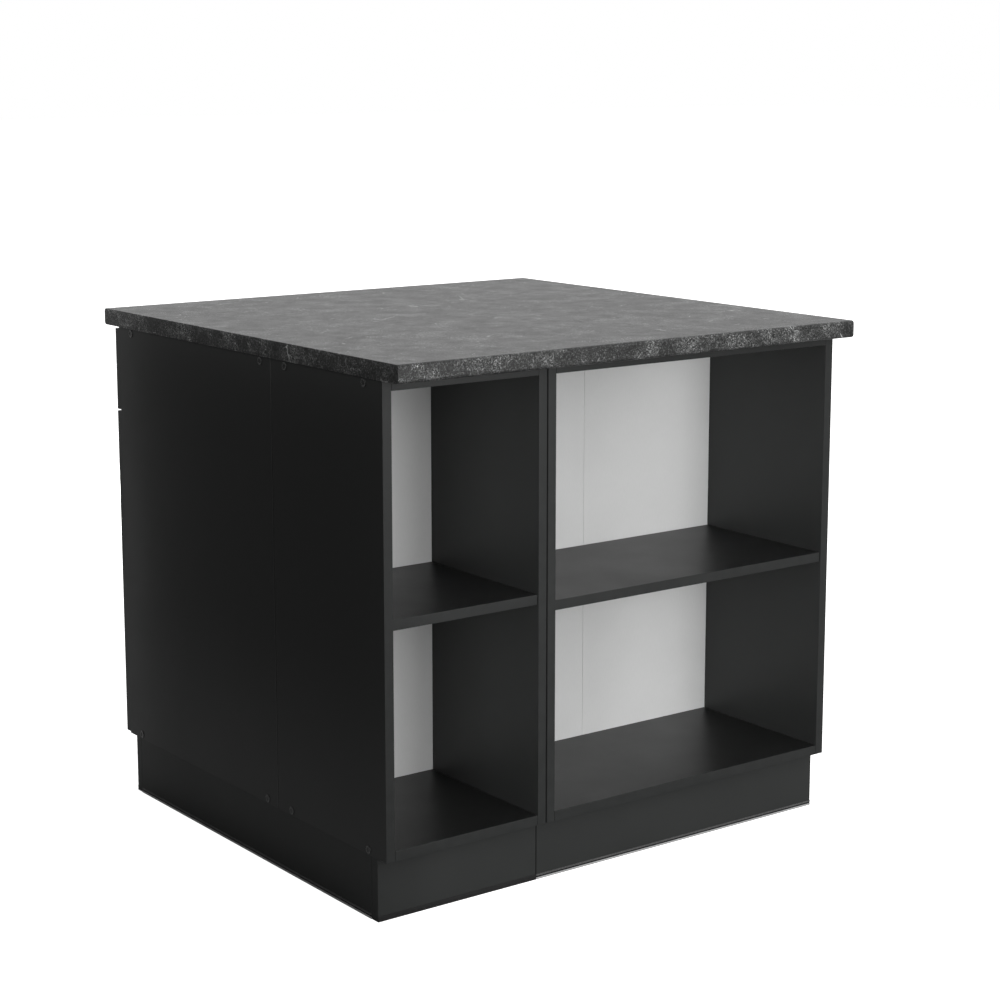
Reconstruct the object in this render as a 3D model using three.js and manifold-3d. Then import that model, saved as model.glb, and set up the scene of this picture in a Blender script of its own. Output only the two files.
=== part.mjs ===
// Kitchen island unit: two open shelf units and two fronted base units stand back to back
// under one worktop, on levelling feet hidden by a plinth.
// Millimetres, +Z up. The shelf units face -Y, the doors and the drawer face +Y.
// Plan coordinates run from the island's left outer face (X) and the shelf fronts (Y); the
// finished group is moved so that its origin is on the floor under the middle of the worktop.

import * as THREE from 'three';
import * as BufferGeometryUtils from 'three/addons/utils/BufferGeometryUtils.js';
import Module from 'manifold-3d';

const wasm = await Module();
wasm.setup();

// ---------------------------------------------------------------- driving dimensions

const NARROW_WIDTH = 300; // open unit and tall-door unit
const WIDE_WIDTH = 600; // open unit and drawer unit
const SHELF_UNIT_DEPTH = 308;
const BASE_UNIT_DEPTH = 504;
const FOOT_HEIGHT = 100;
const CARCASS_HEIGHT = 722;
const WORKTOP_THICKNESS = 28;

const BOARD = 16; // melamine-faced chipboard
const SEAT = 0.25; // play where one board butts another
const UNIT_JOINT = 1; // gap between neighbouring carcasses
const OVERCUT = 1; // how far a cutter runs past the face that it opens

// The worktop's two long edges are rounded; its ends are cut square and edged.
const WORKTOP = { frontOverhang: 45, doorOverhang: 47, sideOverhang: 2, edgeRadius: 5, edgeSteps: 6 };

const BACK = { thickness: 3, fromRear: 19, grooveDepth: 6, foldWidth: 1.5, foldDepth: 1 };
const SHELF_PLAY = 0.5; // between a loose shelf and each side
const OPEN_SHELF = { narrowHeight: 352, wideHeight: 338, setback: 2 }; // underside above the carcass bottom
const BASE_SHELF = { narrowHeight: 350, wideHeight: 262, setback: 30 };
const RAIL_WIDTH = 96;

const FRONT = { thickness: 16, reveal: 2, bottomReveal: 2, topReveal: 4, gap: 3, doorGap: 1 };
const DRAWER_FRONT_HEIGHT = 140;
const FRONT_EDGE = { radius: 2, steps: 3 };
const GROOVE = { width: 16, depth: 2.6, stileInset: 46, railInset: 50, boards: 4, steps: 6 };

const HANDLE = { holeSpacing: 128, fromTop: 24, projection: 26, barWidth: 9, barHeight: 12 };
const HANDLE_BEND = { fromBoss: 27, shortOfBow: 3 }; // where the bar turns to run level
const HANDLE_BOSS = { radius: 12, height: 6 };
const HANDLE_DOME = { shoulderRadius: 10, shoulderHeight: 8, crownRadius: 5, crownHeight: 9 };
const HANDLE_SIDES = 12;
const HANDLE_STEPS = 16;

const HINGE = { fromEnd: 100, cupRadius: 17.5, cupDepth: 12.5, cupInset: 22.5, cupWall: 1, clearance: 0.3 };
const HINGE_FLANGE = { thickness: 0.6, width: 20, length: 58, earRadius: 6, offset: 5 };
const HINGE_LINK = { thickness: 2, width: 7, height: 11, reach: 6 };
const HINGE_PLATE = { thickness: 3, length: 62, width: 14, setback: 30 };
const HINGE_BLOCK = { height: 6, width: 16, length: 34, lap: 1 };
const HINGE_ARM = { length: 58, width: 13, thickness: 9, slopeStart: 17, slopeEnd: 46 };
const HINGE_NECK = { width: 5, rise: 3 };

const DRAWER = { boxHeight: 100, boxBoard: 16, rise: 17, rearRoom: 32 };
const DRAWER_SHEET = { thickness: 3, rise: 10, grooveDepth: 8 };
const RUNNER = { sideGap: 12.5, height: 45, depth: 9.5, frontInset: 2 };
const CHANNEL = { sheet: 1.2, lip: 3, ballGap: 3.4, play: 0.3 };

const PLINTH = { board: 16, shelfRecess: 26, doorRecess: 20, sideRecess: 1, topPlay: 0.5, seam: 0.5 };
const SEAL = { height: 10, sheet: 1 };

const FOOT = { baseRadius: 28, baseHeight: 5, inset: 62, root: 8 };
const FOOT_STEM = { lowRadius: 15, lowHeight: 10, neckRadius: 12, topRadius: 24, topHeight: 6 };
const FOOT_SIDES = 14;
const CUP_SIDES = 24;
const EAR_STEPS = 5;

// ---------------------------------------------------------------- derived dimensions

const ISLAND_WIDTH = NARROW_WIDTH + WIDE_WIDTH;
const ISLAND_DEPTH = SHELF_UNIT_DEPTH + BASE_UNIT_DEPTH;
const CARCASS_TOP = FOOT_HEIGHT + CARCASS_HEIGHT;
const WORKTOP_LENGTH = ISLAND_WIDTH + 2 * WORKTOP.sideOverhang;
const WORKTOP_DEPTH = ISLAND_DEPTH + WORKTOP.frontOverhang + WORKTOP.doorOverhang;
const DOOR_BACK = ISLAND_DEPTH + FRONT.doorGap; // Y of the fronts' rear face
const DOOR_FACE = DOOR_BACK + FRONT.thickness;
const FRONT_BOTTOM = FOOT_HEIGHT + FRONT.bottomReveal;
const FRONT_TOP = CARCASS_TOP - FRONT.topReveal;
const DRAWER_FRONT_BOTTOM = FRONT_TOP - DRAWER_FRONT_HEIGHT;
const SHORT_DOOR_TOP = DRAWER_FRONT_BOTTOM - FRONT.gap;

// ---------------------------------------------------------------- finishes

function finish(color, roughness, metalness = 0) {
  return new THREE.MeshStandardMaterial({ color, roughness, metalness });
}

const FINISHES = {
  graphiteBoard: finish(0x2c2e2d, 0.55),
  graphiteFront: finish(0x3e3f3e, 0.6),
  stone: finish(0x4a4b4a, 0.45),
  hardboard: finish(0xb9bab8, 0.6),
  blackMetal: finish(0x0d0d0e, 0.35, 0.6),
  nickel: finish(0xa9aaa8, 0.3, 0.9),
  zincSheet: finish(0x8f9294, 0.4, 0.85),
  plinthBoard: finish(0x363837, 0.5),
  drawerBoard: finish(0x8e8f8d, 0.6),
};

// ---------------------------------------------------------------- solids

const island = new THREE.Group();

function toSolid(geometry) {
  const bare = geometry.clone();
  bare.deleteAttribute('normal');
  bare.deleteAttribute('uv');
  const merged = BufferGeometryUtils.mergeVertices(bare, 1e-4);
  const mesh = new wasm.Mesh({
    numProp: 3,
    vertProperties: Float32Array.from(merged.attributes.position.array),
    triVerts: Uint32Array.from(merged.index.array),
  });
  return new wasm.Manifold(mesh);
}

function toGeometry(solid) {
  const mesh = solid.getMesh();
  const geometry = new THREE.BufferGeometry();
  geometry.setAttribute('position', new THREE.BufferAttribute(mesh.vertProperties, mesh.numProp));
  geometry.setIndex(new THREE.BufferAttribute(mesh.triVerts, 1));
  const faceted = geometry.toNonIndexed();
  faceted.computeVertexNormals();
  return faceted;
}

const join = (first, ...others) => others.reduce((whole, piece) => whole.add(piece), first);
const cut = (first, ...tools) => tools.reduce((whole, tool) => whole.subtract(tool), first);

// A box between two corners, as a geometry in plan coordinates.
function boxGeometry([x0, x1], [y0, y1], [z0, z1]) {
  const geometry = new THREE.BoxGeometry(x1 - x0, y1 - y0, z1 - z0);
  return geometry.translate((x0 + x1) / 2, (y0 + y1) / 2, (z0 + z1) / 2);
}

const boxSolid = (xs, ys, zs) => toSolid(boxGeometry(xs, ys, zs));

// A shape drawn in two axes and extruded along the third.
function extruded(shape, depth, curveSegments, place) {
  return new THREE.ExtrudeGeometry(shape, { depth, curveSegments, bevelEnabled: false }).applyMatrix4(place);
}

// The same for an outline of straight lines.
function prism(points, length, place) {
  return extruded(new THREE.Shape(points.map(([a, b]) => new THREE.Vector2(a, b))), length, 1, place);
}

// A rectangle with rounded corners, drawn about its middle.
function roundedShape(width, height, radius) {
  const shape = new THREE.Shape();
  const a = width / 2 - radius;
  const b = height / 2 - radius;
  shape.absarc(a, -b, radius, -Math.PI / 2, 0);
  shape.absarc(a, b, radius, 0, Math.PI / 2);
  shape.absarc(-a, b, radius, Math.PI / 2, Math.PI);
  shape.absarc(-a, -b, radius, Math.PI, Math.PI * 1.5);
  return shape;
}

// Maps an outline's (a, b) and its extrusion to three plan directions.
function axesAt(a, b, along, [x, y, z]) {
  const matrix = new THREE.Matrix4().makeBasis(
    new THREE.Vector3(...a),
    new THREE.Vector3(...b),
    new THREE.Vector3(...along),
  );
  return matrix.setPosition(x, y, z);
}

const X = [1, 0, 0];
const Y = [0, 1, 0];
const Z = [0, 0, 1];
const BACKWARD = [0, -1, 0];
const DOWN = [0, 0, -1];
const LEFTWARD = [-1, 0, 0];

// A round piece about a vertical, depth or width axis. Its profile lists [radius, height].
function turned(profile, sides, place) {
  const outline = profile.map(([radius, height]) => new THREE.Vector2(radius, height));
  return new THREE.LatheGeometry(outline, sides).applyMatrix4(place);
}

function add(name, geometry, material) {
  const mesh = new THREE.Mesh(geometry, material.clone());
  mesh.name = name;
  island.add(mesh);
}

const addSolid = (name, solid, material) => add(name, toGeometry(solid), material);

// ---------------------------------------------------------------- levelling feet

// The foot turns about +Z from the floor up to the carcass bottom that carries it.
function footSolid(x, y, boardBottom) {
  const stem = FOOT_STEM;
  const collar = boardBottom - stem.topHeight;
  const profile = [
    [0, 0],
    [FOOT.baseRadius, 0],
    [FOOT.baseRadius, FOOT.baseHeight],
    [stem.lowRadius, stem.lowHeight],
    [stem.neckRadius, collar - stem.topHeight],
    [stem.topRadius, collar],
    [stem.topRadius, boardBottom + FOOT.root],
    [0, boardBottom + FOOT.root],
  ];
  return toSolid(turned(profile, FOOT_SIDES, axesAt(X, Z, BACKWARD, [x, y, 0])));
}

// ---------------------------------------------------------------- carcasses

// A unit stands between two plan X values. Its front looks along `facing` (-1 shelf side,
// +1 door side); `across` turns a distance behind the front into a plan Y span.
function unit(name, x0, x1, facing, depth) {
  const frontY = facing < 0 ? 0 : ISLAND_DEPTH;
  const left = x0 + UNIT_JOINT / 2;
  const right = x1 - UNIT_JOINT / 2;
  return {
    name,
    left,
    right,
    innerLeft: left + BOARD,
    innerRight: right - BOARD,
    depth: depth - UNIT_JOINT / 2,
    across: (near, far) => {
      const ends = [frontY - facing * near, frontY - facing * far];
      return ends.sort((a, b) => a - b);
    },
  };
}

const backFront = (u) => u.depth - BACK.fromRear - BACK.thickness;

// The plan Y span of the groove that holds the back.
const backGroove = (u) => u.across(backFront(u) - SEAT, backFront(u) + BACK.thickness + SEAT);

function sides(u) {
  const ys = u.across(0, u.depth);
  const zs = [FOOT_HEIGHT, CARCASS_TOP - SEAT];
  const grooveZ = [FOOT_HEIGHT + BOARD - BACK.grooveDepth, CARCASS_TOP];
  const left = boxSolid([u.left, u.innerLeft], ys, zs)
    .subtract(boxSolid([u.innerLeft - BACK.grooveDepth, u.innerLeft + OVERCUT], backGroove(u), grooveZ));
  const right = boxSolid([u.innerRight, u.right], ys, zs)
    .subtract(boxSolid([u.innerRight - OVERCUT, u.innerRight + BACK.grooveDepth], backGroove(u), grooveZ));
  addSolid(`${u.name}_side_left`, left, FINISHES.graphiteBoard);
  addSolid(`${u.name}_side_right`, right, FINISHES.graphiteBoard);
}

const innerSpan = (u, play) => [u.innerLeft + play, u.innerRight - play];

function bottom(u) {
  const xs = innerSpan(u, SEAT);
  const surface = FOOT_HEIGHT + BOARD;
  const board = boxSolid(xs, u.across(0, u.depth), [FOOT_HEIGHT, surface]);
  const groove = boxSolid(xs, backGroove(u), [surface - BACK.grooveDepth, surface + OVERCUT]);
  const feet = [];
  for (const x of [u.innerLeft + FOOT.inset, u.innerRight - FOOT.inset]) {
    for (const fromFront of [FOOT.inset + PLINTH.shelfRecess, u.depth - FOOT.inset]) {
      feet.push(footSolid(x, u.across(fromFront, fromFront)[0], FOOT_HEIGHT));
    }
  }
  addSolid(`${u.name}_bottom`, join(board, ...feet).subtract(groove), FINISHES.graphiteBoard);
}

function top(u) {
  const xs = innerSpan(u, SEAT);
  const underside = CARCASS_TOP - BOARD;
  const board = boxSolid(xs, u.across(0, u.depth), [underside, CARCASS_TOP - SEAT]);
  const groove = boxSolid(xs, backGroove(u), [underside - OVERCUT, underside + BACK.grooveDepth]);
  addSolid(`${u.name}_top`, board.subtract(groove), FINISHES.graphiteBoard);
}

function rails(u) {
  const xs = innerSpan(u, SEAT);
  const zs = [CARCASS_TOP - BOARD, CARCASS_TOP - SEAT];
  const rear = backFront(u) - SEAT;
  const spans = { front: u.across(0, RAIL_WIDTH), back: u.across(rear - RAIL_WIDTH, rear) };
  for (const [place, ys] of Object.entries(spans)) {
    add(`${u.name}_${place}_rail`, boxGeometry(xs, ys, zs), FINISHES.graphiteBoard);
  }
}

function shelf(u, height, setback) {
  const z0 = FOOT_HEIGHT + height;
  const ys = u.across(setback, backFront(u) - SHELF_PLAY);
  const board = boxGeometry(innerSpan(u, SHELF_PLAY), ys, [z0, z0 + BOARD]);
  add(`${u.name}_shelf`, board, FINISHES.graphiteBoard);
}

// The back slides in its grooves; a wide one folds flat at a groove scored down its middle.
function back(u, topZ, folded) {
  const reach = BACK.grooveDepth - SEAT;
  const xs = [u.innerLeft - reach, u.innerRight + reach];
  const ys = u.across(backFront(u), backFront(u) + BACK.thickness);
  let sheet = boxSolid(xs, ys, [FOOT_HEIGHT + BOARD - reach, topZ]);
  if (folded) {
    const middle = (u.left + u.right) / 2;
    const score = u.across(backFront(u) - OVERCUT, backFront(u) + BACK.foldDepth);
    const fold = [middle - BACK.foldWidth / 2, middle + BACK.foldWidth / 2];
    sheet = sheet.subtract(boxSolid(fold, score, [FOOT_HEIGHT, CARCASS_TOP]));
  }
  addSolid(`${u.name}_back`, sheet, FINISHES.hardboard);
}

const grooveTop = CARCASS_TOP - BOARD + BACK.grooveDepth - SEAT;

const openNarrow = unit('open_narrow', 0, NARROW_WIDTH, -1, SHELF_UNIT_DEPTH);
const openWide = unit('open_wide', NARROW_WIDTH, ISLAND_WIDTH, -1, SHELF_UNIT_DEPTH);
const wideBase = unit('wide_base', 0, WIDE_WIDTH, 1, BASE_UNIT_DEPTH);
const narrowBase = unit('narrow_base', WIDE_WIDTH, ISLAND_WIDTH, 1, BASE_UNIT_DEPTH);

for (const u of [openNarrow, openWide, wideBase, narrowBase]) {
  sides(u);
  bottom(u);
}
for (const u of [openNarrow, openWide, narrowBase]) {
  top(u);
}
rails(wideBase);

shelf(openNarrow, OPEN_SHELF.narrowHeight, OPEN_SHELF.setback);
shelf(openWide, OPEN_SHELF.wideHeight, OPEN_SHELF.setback);
shelf(narrowBase, BASE_SHELF.narrowHeight, BASE_SHELF.setback);
shelf(wideBase, BASE_SHELF.wideHeight, BASE_SHELF.setback);

back(openNarrow, grooveTop, false);
back(openWide, grooveTop, true);
back(narrowBase, grooveTop, false);
back(wideBase, CARCASS_TOP - SEAT, true);

// ---------------------------------------------------------------- worktop

// Its rounded section is drawn across the island and runs the island's whole width.
function worktop() {
  const section = roundedShape(WORKTOP_DEPTH, WORKTOP_THICKNESS, WORKTOP.edgeRadius);
  const middle = -WORKTOP.frontOverhang + WORKTOP_DEPTH / 2;
  const start = [-WORKTOP.sideOverhang, middle, CARCASS_TOP + WORKTOP_THICKNESS / 2];
  const slab = extruded(section, WORKTOP_LENGTH, WORKTOP.edgeSteps, axesAt(Y, Z, X, start));
  add('worktop', slab, FINISHES.stone);
}

worktop();

// ---------------------------------------------------------------- milled fronts

// A milled groove is a shallow trough: its section runs from one lip to the other.
function grooveSection() {
  const half = GROOVE.width / 2;
  const points = [[-half, OVERCUT], [-half, 0]];
  for (let i = 1; i < GROOVE.steps; i += 1) {
    const t = -1 + (2 * i) / GROOVE.steps;
    points.push([half * t, -GROOVE.depth * Math.cos((Math.PI / 2) * t)]);
  }
  points.push([half, 0], [half, OVERCUT]);
  return points;
}

// Grooves are cut into the face at DOOR_FACE: upright ones run in Z, level ones in X.
function uprightGroove(x, z0, z1) {
  return toSolid(prism(grooveSection(), z1 - z0, axesAt(X, Y, Z, [x, DOOR_FACE, z0])));
}

function levelGroove(z, x0, x1) {
  return toSolid(prism(grooveSection(), x1 - x0, axesAt(DOWN, Y, X, [x0, DOOR_FACE, z])));
}

// A panel with softened front arrises, standing on the plane DOOR_BACK.
function frontPanel(x0, x1, z0, z1) {
  const r = FRONT_EDGE.radius;
  const shape = new THREE.Shape();
  shape.moveTo(x0 + r, z0 + r);
  shape.lineTo(x0 + r, z1 - r);
  shape.lineTo(x1 - r, z1 - r);
  shape.lineTo(x1 - r, z0 + r);
  const geometry = new THREE.ExtrudeGeometry(shape, {
    depth: FRONT.thickness - 2 * r,
    bevelThickness: r,
    bevelSize: r,
    bevelSegments: FRONT_EDGE.steps,
  });
  const rounded = toSolid(geometry.applyMatrix4(axesAt(X, Z, BACKWARD, [0, DOOR_FACE - r, 0])));
  const squareRear = boxSolid([x0, x1], [DOOR_BACK, DOOR_BACK + FRONT.thickness / 2], [z0, z1]);
  return rounded.add(squareRear);
}

// Stile grooves run the full height; the field between them is split into boards.
function doorPanel(x0, x1, z0, z1) {
  const stiles = [x0 + GROOVE.stileInset, x1 - GROOVE.stileInset];
  const railsZ = [z0 + GROOVE.railInset, z1 - GROOVE.railInset];
  const pitch = (stiles[1] - stiles[0]) / GROOVE.boards;
  const tools = stiles.map((x) => uprightGroove(x, z0 - OVERCUT, z1 + OVERCUT));
  tools.push(...railsZ.map((z) => levelGroove(z, stiles[0], stiles[1])));
  for (let i = 1; i < GROOVE.boards; i += 1) {
    tools.push(uprightGroove(stiles[0] + i * pitch, railsZ[0], railsZ[1]));
  }
  return cut(frontPanel(x0, x1, z0, z1), ...tools);
}

function drawerPanel(x0, x1, z0, z1) {
  const stiles = [x0 + GROOVE.stileInset, x1 - GROOVE.stileInset];
  const tools = stiles.map((x) => uprightGroove(x, z0 - OVERCUT, z1 + OVERCUT));
  return cut(frontPanel(x0, x1, z0, z1), ...tools);
}

// ---------------------------------------------------------------- bow handles

// The bar bows out between two round bosses. It is drawn about the middle of its holes,
// on the front's face, with +Y out of the face.
function handle(name, x, topZ) {
  const b = HANDLE_BOSS;
  const d = HANDLE_DOME;
  const half = HANDLE.holeSpacing / 2;
  const bow = HANDLE.projection - HANDLE.barWidth / 2;
  const bend = half - HANDLE_BEND.fromBoss;
  const path = new THREE.CatmullRomCurve3([
    new THREE.Vector3(-half, b.height, 0),
    new THREE.Vector3(-bend, bow - HANDLE_BEND.shortOfBow, 0),
    new THREE.Vector3(0, bow, 0),
    new THREE.Vector3(bend, bow - HANDLE_BEND.shortOfBow, 0),
    new THREE.Vector3(half, b.height, 0),
  ]);
  const section = new THREE.Shape();
  section.absarc(0, 0, HANDLE.barWidth / 2, 0, Math.PI * 2);
  const bar = new THREE.ExtrudeGeometry(section, {
    steps: HANDLE_STEPS,
    curveSegments: HANDLE_SIDES,
    extrudePath: path,
  });
  bar.scale(1, 1, HANDLE.barHeight / HANDLE.barWidth);
  const profile = [
    [0, 0],
    [b.radius, 0],
    [b.radius, b.height],
    [d.shoulderRadius, d.shoulderHeight],
    [d.crownRadius, d.crownHeight],
    [0, d.crownHeight],
  ];
  const bosses = [-half, half].map((dx) => {
    return toSolid(turned(profile, HANDLE_SIDES * 2, axesAt(X, Y, Z, [dx, 0, 0])));
  });
  const solid = join(toSolid(bar), ...bosses).translate(x, DOOR_FACE + SEAT, topZ - HANDLE.fromTop);
  addSolid(name, solid, FINISHES.blackMetal);
}

// ---------------------------------------------------------------- concealed hinges

// A hinge side is +1 where the door hangs on the unit's left panel and -1 on its right one:
// `u` runs from that panel's outer face into the unit, `v` out of the carcass front.
function hingeFrame(edgeX, hand, z) {
  return new THREE.Matrix4()
    .makeBasis(new THREE.Vector3(hand, 0, 0), new THREE.Vector3(...Y), new THREE.Vector3(0, 0, hand))
    .setPosition(edgeX, ISLAND_DEPTH, z);
}

// The cup sits in the door's bore; its flange lies on the door's rear face and its two
// links reach back towards the arm.
function hingeCup(name, edgeX, hand, z) {
  const h = HINGE;
  const centre = FRONT.reveal + h.cupInset;
  const outer = h.cupRadius - h.clearance;
  const inner = outer - h.cupWall;
  const mouth = FRONT.doorGap - HINGE_FLANGE.thickness;
  const floor = FRONT.doorGap + h.cupDepth - h.clearance;
  const profile = [
    [0, floor],
    [outer, floor],
    [outer, mouth],
    [inner, mouth],
    [inner, floor - h.cupWall],
    [0, floor - h.cupWall],
  ];
  const place = axesAt(X, Y, Z, [centre, 0, 0]);
  const cup = toSolid(turned(profile.reverse(), CUP_SIDES, place));
  const f = HINGE_FLANGE;
  const strip = roundedShape(f.width, f.length, f.earRadius);
  const onRear = axesAt(LEFTWARD, Z, Y, [centre + f.offset, mouth, 0]);
  const sheet = extruded(strip, f.thickness, EAR_STEPS, onRear);
  const ends = [mouth - OVERCUT, FRONT.doorGap + OVERCUT];
  const holeProfile = [[0, ends[0]], [inner, ends[0]], [inner, ends[1]], [0, ends[1]]];
  const rim = toSolid(sheet).subtract(toSolid(turned(holeProfile, CUP_SIDES, place)));
  const links = [-1, 1].map((side) => {
    const zMid = (side * (HINGE_LINK.height - HINGE_LINK.thickness)) / 2;
    return boxSolid(
      [centre - HINGE_LINK.width / 2, centre + HINGE_LINK.width / 2],
      [-HINGE_LINK.reach, floor - h.cupWall / 2],
      [zMid - HINGE_LINK.thickness / 2, zMid + HINGE_LINK.thickness / 2],
    );
  });
  const geometry = toGeometry(join(cup, rim, ...links)).applyMatrix4(hingeFrame(edgeX, hand, z));
  add(name, geometry, FINISHES.nickel);
}

// The arm is clipped on a winged plate screwed to the side panel's inner face.
function hingeArm(name, edgeX, hand, z) {
  const p = HINGE_PLATE;
  const k = HINGE_BLOCK;
  const a = HINGE_ARM;
  const n = HINGE_NECK;
  const face = BOARD + UNIT_JOINT / 2 + SEAT;
  const plateTop = face + p.thickness;
  const wing = boxSolid([face, plateTop], [-p.setback - p.width, -p.setback], [-p.length / 2, p.length / 2]);
  const blockTop = plateTop + k.height;
  const middle = -p.setback - p.width / 2;
  const block = boxSolid(
    [face, blockTop],
    [middle - k.length / 2, middle + k.length / 2],
    [-k.width / 2, k.width / 2],
  );
  const tip = -HINGE_LINK.reach - HINGE.clearance;
  const outline = [
    [blockTop - k.lap, tip - a.length],
    [blockTop + a.thickness - n.rise, tip - a.length],
    [blockTop + a.thickness, tip - a.slopeEnd],
    [blockTop + a.thickness, tip - a.slopeStart],
    [face + n.rise + a.thickness, tip],
    [face + n.rise, tip],
    [face + n.rise, tip - n.width],
    [blockTop - k.lap, tip - a.slopeStart],
  ];
  const arm = toSolid(prism(outline, a.width, axesAt(X, Y, Z, [0, 0, -a.width / 2])));
  const geometry = toGeometry(join(wing, block, arm)).applyMatrix4(hingeFrame(edgeX, hand, z));
  add(name, geometry, FINISHES.nickel);
}

// The bore that a cup drops into, cut from the door's rear face.
function cupBore(edgeX, hand, z) {
  const centre = edgeX + hand * (FRONT.reveal + HINGE.cupInset);
  const profile = [
    [0, DOOR_BACK - OVERCUT],
    [HINGE.cupRadius, DOOR_BACK - OVERCUT],
    [HINGE.cupRadius, DOOR_BACK + HINGE.cupDepth],
    [0, DOOR_BACK + HINGE.cupDepth],
  ];
  return toSolid(turned(profile, CUP_SIDES, axesAt(X, Y, Z, [centre, 0, z])));
}

// ---------------------------------------------------------------- doors

function door(name, x0, x1, topZ, hand) {
  const edgeX = hand > 0 ? x0 : x1;
  const heights = [['lower', FRONT_BOTTOM + HINGE.fromEnd], ['upper', topZ - HINGE.fromEnd]];
  const bores = heights.map(([, z]) => cupBore(edgeX, hand, z));
  const panel = doorPanel(x0 + FRONT.reveal, x1 - FRONT.reveal, FRONT_BOTTOM, topZ);
  addSolid(`door_${name}`, cut(panel, ...bores), FINISHES.graphiteFront);
  handle(`handle_${name}`, (x0 + x1) / 2, topZ);
  for (const [place, z] of heights) {
    hingeArm(`hinge_arm_${name}_${place}`, edgeX, hand, z);
    hingeCup(`hinge_cup_${name}_${place}`, edgeX, hand, z);
  }
}

door('wide_left', 0, WIDE_WIDTH / 2, SHORT_DOOR_TOP, 1);
door('wide_right', WIDE_WIDTH / 2, WIDE_WIDTH, SHORT_DOOR_TOP, -1);
door('narrow', WIDE_WIDTH, ISLAND_WIDTH, FRONT_TOP, -1);

// ---------------------------------------------------------------- drawer

function drawer(u) {
  const d = DRAWER;
  const sheet = DRAWER_SHEET;
  const z0 = DRAWER_FRONT_BOTTOM + d.rise;
  const zs = [z0, z0 + d.boxHeight];
  const outer = [u.innerLeft + RUNNER.sideGap, u.innerRight - RUNNER.sideGap];
  const inner = [outer[0] + d.boxBoard, outer[1] - d.boxBoard];
  const rear = ISLAND_DEPTH - backFront(u) + d.rearRoom;
  const ys = [rear, DOOR_BACK - SEAT];
  const panelZ = [z0 + sheet.rise, z0 + sheet.rise + sheet.thickness];
  const grooveZ = [panelZ[0] - SEAT, panelZ[1] + SEAT];
  const grooveX = [inner[0] - sheet.grooveDepth, inner[1] + sheet.grooveDepth];
  const groove = boxSolid(grooveX, [rear - OVERCUT, DOOR_BACK], grooveZ);
  const left = boxSolid([outer[0], inner[0]], ys, zs).subtract(groove);
  const right = boxSolid([inner[1], outer[1]], ys, zs).subtract(groove);
  const between = [inner[0] + SEAT, inner[1] - SEAT];
  const rearBoard = boxGeometry(between, [rear, rear + d.boxBoard], [grooveZ[1], zs[1]]);
  const sheetX = [grooveX[0] + SEAT, grooveX[1] - SEAT];
  addSolid('drawer_side_left', left, FINISHES.drawerBoard);
  addSolid('drawer_side_right', right, FINISHES.drawerBoard);
  add('drawer_back', rearBoard, FINISHES.drawerBoard);
  add('drawer_bottom', boxGeometry(sheetX, ys, panelZ), FINISHES.hardboard);
  const front = drawerPanel(FRONT.reveal, WIDE_WIDTH - FRONT.reveal, DRAWER_FRONT_BOTTOM, FRONT_TOP);
  addSolid('drawer_front', front, FINISHES.graphiteFront);
  handle('handle_drawer', WIDE_WIDTH / 2, FRONT_TOP);
  return { middle: z0 + d.boxHeight / 2, ys };
}

// A runner's two nested channels, drawn across the gap between carcass and drawer side.
function runner(side, wallX, hand, middle, [rear, front]) {
  const r = RUNNER;
  const c = CHANNEL;
  const half = r.height / 2;
  const outerChannel = [
    [SEAT, -half],
    [r.depth, -half],
    [r.depth, -half + c.lip + c.sheet],
    [r.depth - c.sheet, -half + c.lip + c.sheet],
    [r.depth - c.sheet, -half + c.sheet],
    [SEAT + c.sheet, -half + c.sheet],
    [SEAT + c.sheet, half - c.sheet],
    [r.depth - c.sheet, half - c.sheet],
    [r.depth - c.sheet, half - c.lip - c.sheet],
    [r.depth, half - c.lip - c.sheet],
    [r.depth, half],
    [SEAT, half],
  ];
  const slideHalf = half - c.sheet - c.lip - c.play;
  const web = r.sideGap - SEAT;
  const nose = SEAT + c.sheet + c.ballGap;
  const innerChannel = [
    [nose, -slideHalf],
    [web, -slideHalf],
    [web, slideHalf],
    [nose, slideHalf],
    [nose, slideHalf - c.sheet],
    [web - c.sheet, slideHalf - c.sheet],
    [web - c.sheet, -slideHalf + c.sheet],
    [nose, -slideHalf + c.sheet],
  ];
  const channel = (outline, [y0, y1]) => {
    const start = hand > 0 ? y1 : y0;
    return prism(outline, y1 - y0, axesAt([hand, 0, 0], Z, [0, -hand, 0], [wallX, start, middle]));
  };
  const cabinetRun = [rear, ISLAND_DEPTH - r.frontInset];
  add(`runner_cabinet_${side}`, channel(outerChannel, cabinetRun), FINISHES.zincSheet);
  add(`runner_drawer_${side}`, channel(innerChannel, [rear, front]), FINISHES.zincSheet);
}

const box = drawer(wideBase);
runner('left', wideBase.innerLeft, 1, box.middle, box.ys);
runner('right', wideBase.innerRight, -1, box.middle, box.ys);

// ---------------------------------------------------------------- plinth

const grow = ([a, b], by) => [a - by, b + by];

// Each board wears a clip-on seal round its lower edge; the pair is one piece on the floor.
function plinth(name, [boardX, boardY], [sealX, sealY]) {
  const board = boxSolid(boardX, boardY, [SEAL.height, FOOT_HEIGHT - PLINTH.topPlay]);
  const clipped = boxSolid(sealX, sealY, [0, SEAL.height]);
  addSolid(name, board.add(clipped), FINISHES.plinthBoard);
}

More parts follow.
